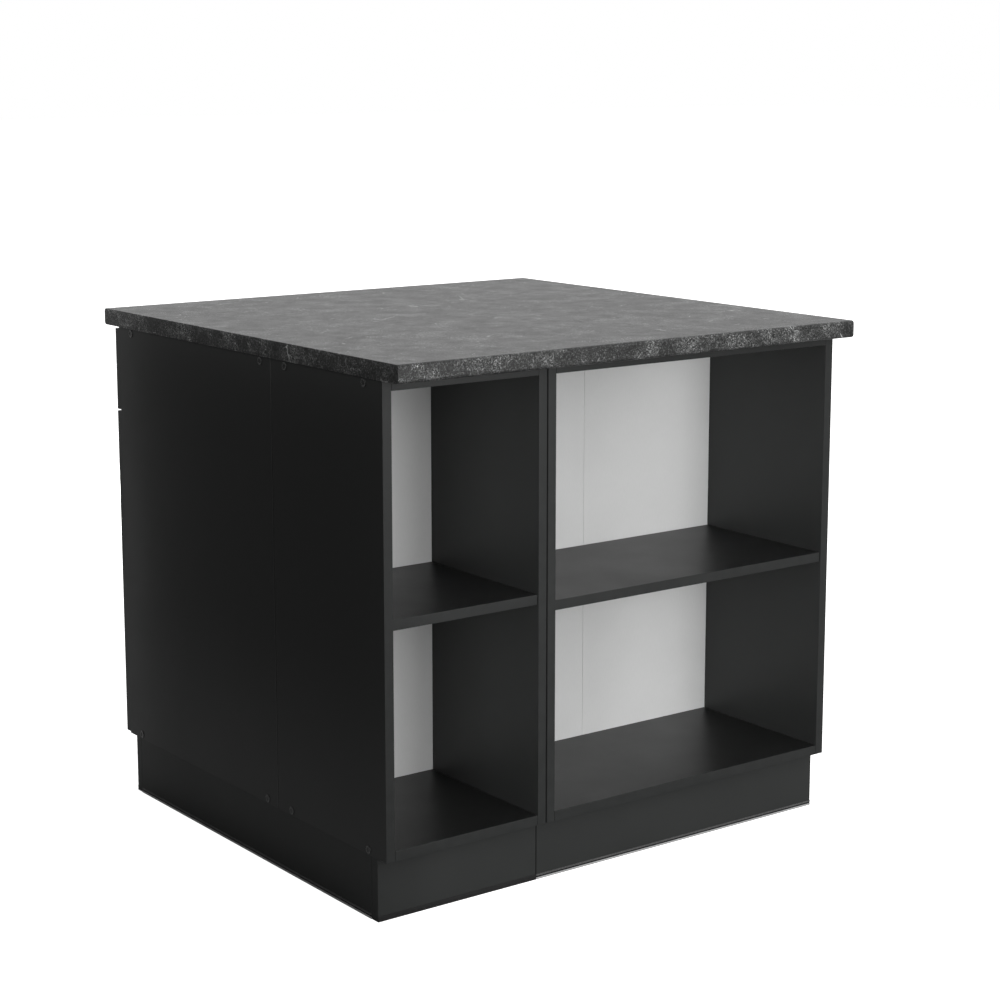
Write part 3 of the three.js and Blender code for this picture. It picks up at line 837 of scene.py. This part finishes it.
@dataclass
class Carcass:
    """A unit's boards, back, shelf pins and feet."""

    name: str
    facing: Facing
    parts: tuple[str, ...] = ("side_left", "side_right", "top", "front_rail", "back_rail", "shelf")
    arris: float = 0.7 * MM
    joint_arris: float = 1.2 * MM
    outer_from: float = 440 * MM
    # Least cosine to the front of a banded face, and to the joint of its arris.
    band_spread: float = 0.3
    joint_spread: float = 0.85
    foot: Foot = Foot()
    foot_inset: float = 62 * MM
    foot_setback: float = 88 * MM
    pin: Outline = (
        (0, -2), (2.5, -2), (2.5, 0), (3.75, 0), (3.75, 1), (2.5, 1), (2.5, 6.5), (2, 7), (0, 7)
    )
    pin_inset: float = 38 * MM
    pin_play: float = 0.5 * MM
    pin_drop: float = 2.6 * MM
    pin_sides: int = 16

    def build(self) -> None:
        """Builds and dresses every piece of the unit."""
        for part in self.parts:
            node = f"{self.name}_{part}"
            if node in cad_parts:
                self.board(node, node_mesh(node))
        self.bottom()
        dress(f"{self.name}_back", "sheet", CARCASS, Slot.BACK, Look.HARDBOARD)
        self.pins()

    def board(self, node: str, mesh: Mesh) -> None:
        """Rounds a board's arrises and edges its front with plastic band.

        Args:
            node: The node that it stands for.
            mesh: The board's mesh.
        """
        lying = "shelf" in node or "bottom" in node
        # Shelves and bottoms take the darker copy of the board colour: painted shade.
        looks = [Look.SHELF if lying else Look.BOARD, Look.EDGE]
        joint = None
        if "side" in node:
            joint, look = self.seam(node, mesh)
            looks.append(look)
        soften(mesh, self.arris)
        front = Vector((0.0, self.facing.value, 0.0))
        mesh.normal_update()
        for face in mesh.faces:
            # Arris faces at a joint: painted highlight on the outer sides, painted shade in the
            # front joint between units.
            if joint and face.normal.dot(joint) > self.joint_spread:
                face.material_index = 2
            elif face.normal.dot(front) > self.band_spread:
                face.material_index = 1
        Piece(f"{node}_board", CARCASS, Slot.BOARD, *looks).add(mesh).done(node)

    def seam(self, node: str, mesh: Mesh) -> tuple[Vector, Look]:
        """Rounds a side board's arris at the joint with the next unit.

        Args:
            node: The side board's node.
            mesh: Its mesh.

        Returns:
            The way that arris looks, and its finish: a painted highlight outside, painted shade in
                the gap at the front.
        """
        low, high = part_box(node)
        hand, x = (-1, low.x) if "left" in node else (1, high.x)
        outer = abs(x) > self.outer_from
        toward = -self.facing.value if outer else self.facing.value
        corner = Vector((x, low.y if toward < 0 else high.y))
        near = 0.01 * MM
        edges = [e for e in mesh.edges if all((v.co.xy - corner).length < near for v in e.verts)]
        round_off(mesh, edges, self.joint_arris, 2)
        return Vector((hand, toward, 0.0)).normalized(), Look.LIT_ARRIS if outer else Look.SHADED_GAP

    def bottom(self) -> None:
        """Makes the bottom board and its levelling feet as separate pieces."""
        node = f"{self.name}_bottom"
        low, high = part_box(node)
        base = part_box(f"{self.name}_side_left")[0].z
        self.board(node, box_mesh((low.x, low.y, base), high))
        way = self.facing.value
        front, rear = (low.y, high.y) if way < 0 else (high.y, low.y)
        feet = Piece(f"{self.name}_feet", CARCASS, Slot.BOARD, Look.FOOT)
        for x in (low.x + self.foot_inset, high.x - self.foot_inset):
            for y in (front - way * self.foot_setback, rear + way * self.foot_inset):
                feet.add(self.foot.mesh((x, y, 0.0), base))
        feet.done()

    def pins(self) -> None:
        """Puts four steel pins under the shelf."""
        low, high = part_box(f"{self.name}_shelf")
        pins = Piece(f"{self.name}_shelf_pins", CARCASS, Slot.RUNNER, Look.ZINC)
        z = low.z - self.pin_drop
        for y in (low.y + self.pin_inset, high.y - self.pin_inset):
            for x, hand in ((low.x - self.pin_play, 1), (high.x + self.pin_play, -1)):
                points = profile(self.pin, hand=hand)
                pins.add(turned_mesh(points, Axis.X, (x, y, z), self.pin_sides))
        pins.done()


@dataclass
class SideCaps:
    """Round caps over the assembly screws in the outer side panels."""

    cap: Outline = (
        (0, -4), (2.4, -4), (2.4, -0.1), (6.5, -0.1), (6.5, 0.495), (6.045, 0.935),
        (5.33, 1.1), (4.55, 0.99), (3.9, 0.55), (2.925, 0.33), (0, 0.22),
    )
    sides: int = 36
    rim_from: float = 3.9 * MM
    rim_to: float = 5.98 * MM
    from_front: tuple[float, ...] = (48 * MM, 267 * MM, 340 * MM, 768 * MM)
    board: float = 16 * MM

    def build(self) -> None:
        """Builds the caps of both sides."""
        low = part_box("open_narrow_side_left")[0]
        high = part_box("open_wide_side_right")[1]
        heights = (low.z + self.board / 2, high.z - self.board / 2)
        for side, x, hand in (("left", low.x, -1), ("right", high.x, 1)):
            caps = Piece(f"side_caps_{side}", CARCASS, Slot.BOARD, Look.CAP, Look.CAP_RIM_LIT)
            for y in self.from_front:
                for z in heights:
                    caps.add(self.mesh(Vector((x, low.y + y, z)), hand))
            caps.done(smooth=50.0)

    def mesh(self, at: Vector, hand: int) -> Mesh:
        """Makes one cap, a dished middle in a rim painted lighter as a highlight.

        Args:
            at: Its middle on the panel.
            hand: Which way it looks along X.

        Returns:
            The cap's mesh.
        """
        cap = turned_mesh(profile(self.cap, hand=hand), Axis.X, at, self.sides)
        # Faces on the raised rim take the painted highlight colour.
        for face in cap.faces:
            radius = (face.calc_center_median() - at).yz.length
            face.material_index = int(self.rim_from < radius < self.rim_to)
        return cap


# ---- worktop


@dataclass
class Worktop:
    """The stone-patterned top: rounded long edges, and square ends with a fine arris."""

    edge: float = 5 * MM
    arris: float = 0.5 * MM
    arris_step: float = 0.15 * MM
    steps: int = 10

    def section(self, x: float, inset: float) -> list[Point]:
        """Gives the top's section across the island, drawn in by some inset.

        Args:
            x: Where the section stands.
            inset: How far the section is drawn in.

        Returns:
            The points in order round the section.
        """
        low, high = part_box("worktop")
        radius = self.edge - inset
        y0, y1 = low.y + self.edge, high.y - self.edge
        z0, z1 = low.z + self.edge, high.z - self.edge
        points = []
        for cy, cz, start in ((y1, z0, -90), (y1, z1, 0), (y0, z1, 90), (y0, z0, 180)):
            for i in range(self.steps + 1):
                angle = math.radians(start + 90 * i / self.steps)
                points.append((x, cy + radius * math.cos(angle), cz + radius * math.sin(angle)))
        return points

    def build(self) -> None:
        """Builds the top from sections that run along the island."""
        low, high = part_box("worktop")
        ends = ((0.0, self.arris), (self.arris_step, self.arris_step), (self.arris, 0.0))
        rings = [self.section(low.x + along, inset) for along, inset in ends]
        rings += [self.section(high.x - along, inset) for along, inset in reversed(ends)]
        top = Piece("worktop_slab", CARCASS, Slot.WORKTOP, Look.STONE)
        top.add(loft_mesh(rings)).done("worktop", smooth=40.0)


# ---- fronts and fittings


@dataclass
class Front:
    """A milled front with its bow handle and screws."""

    node: str
    handle: str
    body: str
    bar_steps: int = 48
    bar_sides: int = 24
    bar_deep: float = 4.2 * MM
    bar_high: float = 6.0 * MM
    bar_from: float = 4.5 * MM
    root: float = 0.35
    bow: float = 2.6
    fullness: float = 0.8
    waist: float = 0.86
    lean: float = 0.9
    lean_power: float = 2.2
    # Radius as a share of the boss's own, and height in millimetres.
    boss: Outline = (
        (0, 0), (0.96, 0), (1, 0.5), (1, 5.4), (0.97, 6.6), (0.91, 7.4),
        (0.83, 7.6), (0.76, 7.2), (0.68, 6.4), (0.5, 6.1), (0.25, 6.5), (0, 6.6),
    )
    boss_sides: int = 36
    screw: Outline = ((0, 0.3), (4, 0.3), (4, -0.2), (3, -0.55), (0, -0.6))
    screw_sides: int = 24

    def build(self) -> None:
        """Builds the front, its handle and the handle's screws."""
        dress(self.node, "panel", self.body, Slot.FRONT, Look.FRONT, smooth=25.0)
        low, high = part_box(self.handle)
        boss = (high.z - low.z) / 2
        half = (high.x - low.x) / 2 - boss
        seat = Vector(((low.x + high.x) / 2, low.y, (low.z + high.z) / 2))
        bow = Piece(f"{self.handle}_bow", self.body, Slot.HANDLE, Look.BLACK_METAL)
        bow.add(self.bar(seat, half - boss * self.root, high.y - low.y))
        points = [(share * boss, height * MM) for share, height in self.boss]
        for hand in (-1, 1):
            at = seat + Vector((hand * half, 0.0, 0.0))
            bow.add(turned_mesh(points, Axis.Y, at, self.boss_sides))
        bow.done(self.handle, smooth=45.0)
        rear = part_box(self.node)[0].y
        screws = Piece(f"{self.handle}_screws", self.body, Slot.HINGE, Look.NICKEL)
        for hand in (-1, 1):
            at = (seat.x + hand * half, rear, seat.z)
            screws.add(turned_mesh(profile(self.screw), Axis.Y, at, self.screw_sides))
        screws.done()

    def bar(self, seat: Vector, half: float, reach: float) -> Mesh:
        """Makes the bowed bar, slimmer in the middle and leaning out of the bosses.

        Args:
            seat: The handle's middle on the front's face.
            half: Half the bar's length.
            reach: How far the bar stands out in all.

        Returns:
            The bar's mesh.
        """
        rings = []
        for i in range(self.bar_steps + 1):
            t = -1 + 2 * i / self.bar_steps
            rise = (1 - abs(t) ** self.bow) ** self.fullness
            y = seat.y + self.bar_from + (reach - self.bar_deep - self.bar_from) * rise
            slim = self.waist + (1 - self.waist) * t**2
            lean = self.lean * math.copysign(abs(t) ** self.lean_power, t)
            ring = []
            for j in range(self.bar_sides):
                a = 2 * math.pi * j / self.bar_sides
                across = self.bar_deep * slim * math.cos(a)
                z = seat.z + self.bar_high * slim * math.sin(a)
                ring.append((seat.x + half * t + across * lean, y + across, z))
            rings.append(ring)
        return loft_mesh(rings)


@dataclass
class Hinges:
    """The hinges of one door, with their screws and the door's bumpers."""

    door: str
    places: tuple[str, ...] = ("lower", "upper")
    rounding: Rounding = (0.15 * MM, 1, 50.0)
    screw: Outline = (
        (0, -1.6), (3.6, -1.6), (3.6, -0.504), (3.096, 0),
        (1.62, 0), (1.44, -0.3024), (1.296, -1), (0, -1.1),
    )
    screw_from: float = 4 * MM
    screw_back: float = 30 * MM
    screw_up: float = 15 * MM
    bumper: Outline = ((0, 0.2), (4, 0.2), (4, -0.2), (3, -0.6), (0, -0.7))
    bumper_in: float = 10 * MM
    bumper_up: float = 12 * MM
    sides: int = 20

    def build(self) -> None:
        """Builds arms, cups, screws and bumpers."""
        body = f"door_{self.door}"
        for place in self.places:
            arm = f"hinge_arm_{self.door}_{place}"
            cup = f"hinge_cup_{self.door}_{place}"
            for node, rider in ((arm, CARCASS), (cup, body)):
                dress(node, "steel", rider, Slot.HINGE, Look.NICKEL, self.rounding, 35.0)
            self.plate_screws(arm)
        self.bumpers(body)

    def plate_screws(self, arm: str) -> None:
        """Puts two screws in the wings of a mounting plate.

        Args:
            arm: The arm's node.
        """
        low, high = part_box(arm)
        door_low, door_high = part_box(f"door_{self.door}")
        at_left = abs(low.x - door_low.x) < abs(high.x - door_high.x)
        hand, x = (1, low.x + self.screw_from) if at_left else (-1, high.x - self.screw_from)
        screws = Piece(f"{arm}_screws", CARCASS, Slot.HINGE, Look.NICKEL)
        for z in (low.z + self.screw_up, high.z - self.screw_up):
            at = (x, high.y - self.screw_back, z)
            screws.add(turned_mesh(profile(self.screw, hand=hand), Axis.X, at, self.sides))
        screws.done()

    def bumpers(self, body: str) -> None:
        """Puts two clear bumpers on the door's rear, at the free edge.

        Args:
            body: The door's body.
        """
        low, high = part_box(body)
        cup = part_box(f"hinge_cup_{self.door}_lower")[0]
        at_left = cup.x < (low.x + high.x) / 2
        x = high.x - self.bumper_in if at_left else low.x + self.bumper_in
        dots = Piece(f"{body}_bumpers", body, Slot.BACK, Look.BUMPER)
        for z in (low.z + self.bumper_up, high.z - self.bumper_up):
            dots.add(turned_mesh(profile(self.bumper), Axis.Y, (x, low.y, z), self.sides))
        dots.done()


@dataclass
class Drawer:
    """The drawer's box and its two runners."""

    body: str = "drawer"
    boards: tuple[str, ...] = ("drawer_side_left", "drawer_side_right", "drawer_back")
    board_rounding: Rounding = (0.4 * MM, 2, 60.0)
    channel_rounding: Rounding = (0.25 * MM, 2, 50.0)

    def build(self) -> None:
        """Builds the box and the runners."""
        for node in self.boards:
            dress(node, "board", self.body, Slot.DRAWER, Look.DRAWER_BOARD, self.board_rounding)
        dress("drawer_bottom", "sheet", self.body, Slot.BACK, Look.HARDBOARD)
        for side in ("left", "right"):
            for owner, rider in (("cabinet", CARCASS), ("drawer", self.body)):
                node = f"runner_{owner}_{side}"
                rounding = self.channel_rounding
                dress(node, "channel", rider, Slot.RUNNER, Look.ZINC, rounding, 50.0)


@dataclass
class Plinth:
    """The plinth boards and the seals clipped round their lower edges."""

    sheet: float = 1 * MM
    rise: float = 1.5 * MM
    joint: float = 0.6 * MM
    joint_reach: float = 300 * MM
    edge: float = 0.3 * MM
    rib_edge: float = 0.15 * MM
    sole_gap: float = 0.1 * MM
    pale_looks: tuple[Look, ...] = (Look.CLEAR_SEAL, Look.DARK_SEAL, Look.GREY_SEAL)
    dark_looks: tuple[Look, ...] = (Look.SOFT_SEAL,) * 3
    pale: tuple[str, ...] = ("plinth_left", "plinth_shelf_wide", "plinth_right", "plinth_door_wide")
    dark: tuple[str, ...] = ("plinth_shelf_narrow", "plinth_door_narrow")
    # Lower and upper height of each rib, and how far it stands back as a share of the sheet.
    ribs: tuple[tuple[float, float, float], ...] = (
        (0.0, 3.2 * MM, 0.0),
        (3.2 * MM, 5.4 * MM, 0.8),
        (5.4 * MM, 8.4 * MM, 0.1),
    )

    def build(self) -> None:
        """Builds every plinth board with its seal."""
        for names, looks in ((self.pale, self.pale_looks), (self.dark, self.dark_looks)):
            for node in names:
                self.run(node, looks)

    def run(self, node: str, looks: Sequence[Look]) -> None:
        """Builds one board and its seal.

        Args:
            node: The node that the board stands for.
            looks: The finish of each rib of the seal, from the floor up.
        """
        low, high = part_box(node)
        thin, long = (1, 0) if high.x - low.x > high.y - low.y else (0, 1)
        board_low, board_high = low.copy(), high.copy()
        board_low[thin] += self.sheet
        board_high[thin] -= self.sheet
        for end, inward in ((board_low, 1), (board_high, -1)):
            if abs(end[long]) < self.joint_reach:
                end[long] += inward * self.joint
        board_low.z += self.rise
        mesh = box_mesh(board_low, board_high)
        soften(mesh, self.edge)
        Piece(f"{node}_board", CARCASS, Slot.PLINTH, Look.PLINTH).add(mesh).done(node)
        clear = self.sheet if long == 1 else 0.0
        seal = Piece(f"{node}_seal", CARCASS, Slot.PLINTH, *looks)
        for near, far, outer in ((low, board_low, -1), (high, board_high, 1)):
            for index, (bottom, top, back) in enumerate(self.ribs):
                a, b = low.copy(), high.copy()
                edge = near[thin] - outer * back * self.sheet
                a[thin], b[thin] = sorted((edge, far[thin]))
                a[long] += clear
                b[long] -= clear
                a.z, b.z = bottom, top
                rib = box_mesh(a, b)
                soften(rib, self.rib_edge)
                seal.add(rib, index)
        sole_low, sole_high = board_low.copy(), board_high.copy()
        sole_low[long] += clear
        sole_high[long] -= clear
        sole_low.z, sole_high.z = 0.0, self.rise - self.sole_gap
        seal.add(box_mesh(sole_low, sole_high))
        seal.done()


# ---- studio


@dataclass(frozen=True)
class Softbox:
    """A square area light: where it stands, its side in metres and its power in watts."""

    name: str
    at: Point
    size: float
    power: float


@dataclass
class Studio:
    """A pale floor, soft lights and the camera at the photograph's viewing angle."""

    floor: float = 40.0
    floor_drop: float = 0.4 * MM
    pale: tuple[Colour, Colour] = (grey(0.7), grey(0.74))
    glow: float = 1.0
    bounce: float = 0.45
    ambient: float = 0.16
    # The ways that the surround is bright, with their strengths.
    surround: tuple[tuple[Point, float], ...] = (
        ((0.6, 0.8, 0.0), 0.6),
        ((0.0, 0.0, 1.0), 0.35),
        ((-0.2, -0.98, 0.0), 1.35),
    )
    card_gap: float = 60 * MM
    card_glow: float = 0.115
    card_foot: float = 1.9
    card_fade: float = 400 * MM
    camera_at: Point = (-2.1901, -3.0291, 1.2758)
    yaw: float = -36.64
    pitch: float = -9.99
    lens: float = 80.24
    sensor: float = 36.0
    shift: float = -0.05
    aim: Point = (0.0, 0.0, 0.45)
    lights: tuple[Softbox, ...] = (
        Softbox("shelf_side", (0.5, -2.8, 0.85), 1.0, 13.0),
        Softbox("shelf_fill", (-3.18, -2.69, 0.9), 0.8, 34.0),
        Softbox("door_side", (0.5, 3.4, 0.45), 0.7, 40.0),
    )

    def build(self) -> None:
        """Builds the whole stage."""
        self.build_floor()
        self.build_world()
        self.build_card()
        for light in self.lights:
            self.build_light(light)
        self.build_camera()
        bpy.context.scene.view_settings.view_transform = "Standard"

    def build_floor(self) -> None:
        """Builds a floor that looks white and throws little light back at the object."""
        mesh = bmesh.new()
        bmesh.ops.create_grid(mesh, x_segments=2, y_segments=2, size=self.floor)
        floor = mesh_object("studio_floor", mesh)
        floor.location.z = -self.floor_drop
        shader = Shader("pale_floor")
        seen = shader.seen()
        pale = shader.mix(shader.noise(1.5, 2.0), *self.pale)
        shader.set(
            Base_Color=shader.mix(seen, grey(self.bounce), pale),
            Emission_Color=shader.mix(seen, grey(0.0), grey(self.glow)),
            Emission_Strength=1.0,
            Roughness=0.9,
            Specular_IOR_Level=0.0,
        )
        floor.data.materials.append(shader.material)

    def build_card(self) -> None:
        """Stands a dim card beside the left side, which keeps that side evenly dark."""
        low, high = CAD_BOX
        x = low.x - self.card_gap
        y = low.y - self.card_gap
        corners = ((x, y, 0.0), (x, high.y, 0.0), (x, high.y, high.z), (x, y, high.z))
        mesh = bmesh.new()
        mesh.faces.new([mesh.verts.new(corner) for corner in corners])
        card = mesh_object("studio_card", mesh)
        card.visible_camera = False
        shader = Shader("dim_card")
        height = shader.node("ShaderNodeSeparateXYZ", {}, {"Vector": shader.place()}, "Z")
        foot, upper = grey(self.card_glow * self.card_foot), grey(self.card_glow)
        shader.set(
            Base_Color=grey(0.0),
            Specular_IOR_Level=0.0,
            Emission_Color=shader.mix(height.band(0.0, self.card_fade), foot, upper),
            Emission_Strength=1.0,
        )
        card.data.materials.append(shader.material)

    def build_world(self) -> None:
        """Builds a white surround, brightest before, behind and above the object."""
        world = bpy.data.worlds.new("studio")
        world.use_nodes = True
        graph = Graph(world.node_tree)
        way = graph.node("ShaderNodeTexCoord", {}, {}, "Generated")
        settings = {"operation": "DOT_PRODUCT"}
        glow = self.ambient
        for toward, level in self.surround:
            facing = graph.node("ShaderNodeVectorMath", settings, {0: way, 1: toward}, "Value")
            glow = glow + facing.at_least(0.0) * level
        background = world.node_tree.nodes["Background"]
        background.inputs["Color"].default_value = (1.0, 1.0, 1.0, 1.0)
        strength = graph.seen().at_least(glow)
        world.node_tree.links.new(strength.socket, background.inputs["Strength"])
        bpy.context.scene.world = world

    def build_light(self, light: Softbox) -> None:
        """Builds one square light aimed at the object.

        Args:
            light: What it is and where it stands.
        """
        data = bpy.data.lights.new(light.name, "AREA")
        data.size = light.size
        data.energy = light.power
        lamp = bpy.data.objects.new(light.name, data)
        self.stand(lamp, light.at, Vector(self.aim) - Vector(light.at))

    def build_camera(self) -> None:
        """Builds the camera."""
        data = bpy.data.cameras.new("photo_view")
        data.lens = self.lens
        data.sensor_width = self.sensor
        data.shift_y = self.shift
        camera = bpy.data.objects.new("photo_view", data)
        yaw, pitch = math.radians(self.yaw), math.radians(self.pitch)
        level = math.cos(pitch)
        ahead = Vector((-math.sin(yaw) * level, math.cos(yaw) * level, math.sin(pitch)))
        self.stand(camera, self.camera_at, ahead)
        bpy.context.scene.camera = camera

    @staticmethod
    def stand(thing: bpy.types.Object, at: Point, ahead: Vector) -> None:
        """Puts a light or camera into the scene.

        Args:
            thing: The light or camera.
            at: Where it stands.
            ahead: The way that it looks.
        """
        thing.location = at
        thing.rotation_euler = ahead.to_track_quat("-Z", "Y").to_euler()
        bpy.context.scene.collection.objects.link(thing)


# ---- whole island


def island() -> Iterator[Callable[[], None]]:
    """Gives the build step of each sub-assembly in order."""
    for name in ("open_narrow", "open_wide"):
        yield Carcass(name, Facing.SHELF_SIDE).build
    for name in ("narrow_base", "wide_base"):
        yield Carcass(name, Facing.DOOR_SIDE).build
    yield SideCaps().build
    yield Plinth().build
    yield Worktop().build
    yield Drawer().build
    yield Front("drawer_front", "handle_drawer", "drawer").build
    for door in ("wide_left", "wide_right", "narrow"):
        yield Front(f"door_{door}", f"handle_{door}", f"door_{door}").build
        yield Hinges(door).build


def main() -> None:
    """Builds the studio and the island."""
    logging.basicConfig(level=logging.INFO, format="%(name)s %(message)s")
    Studio().build()
    for build in island():
        build()


if __name__ == "__main__":
    main()
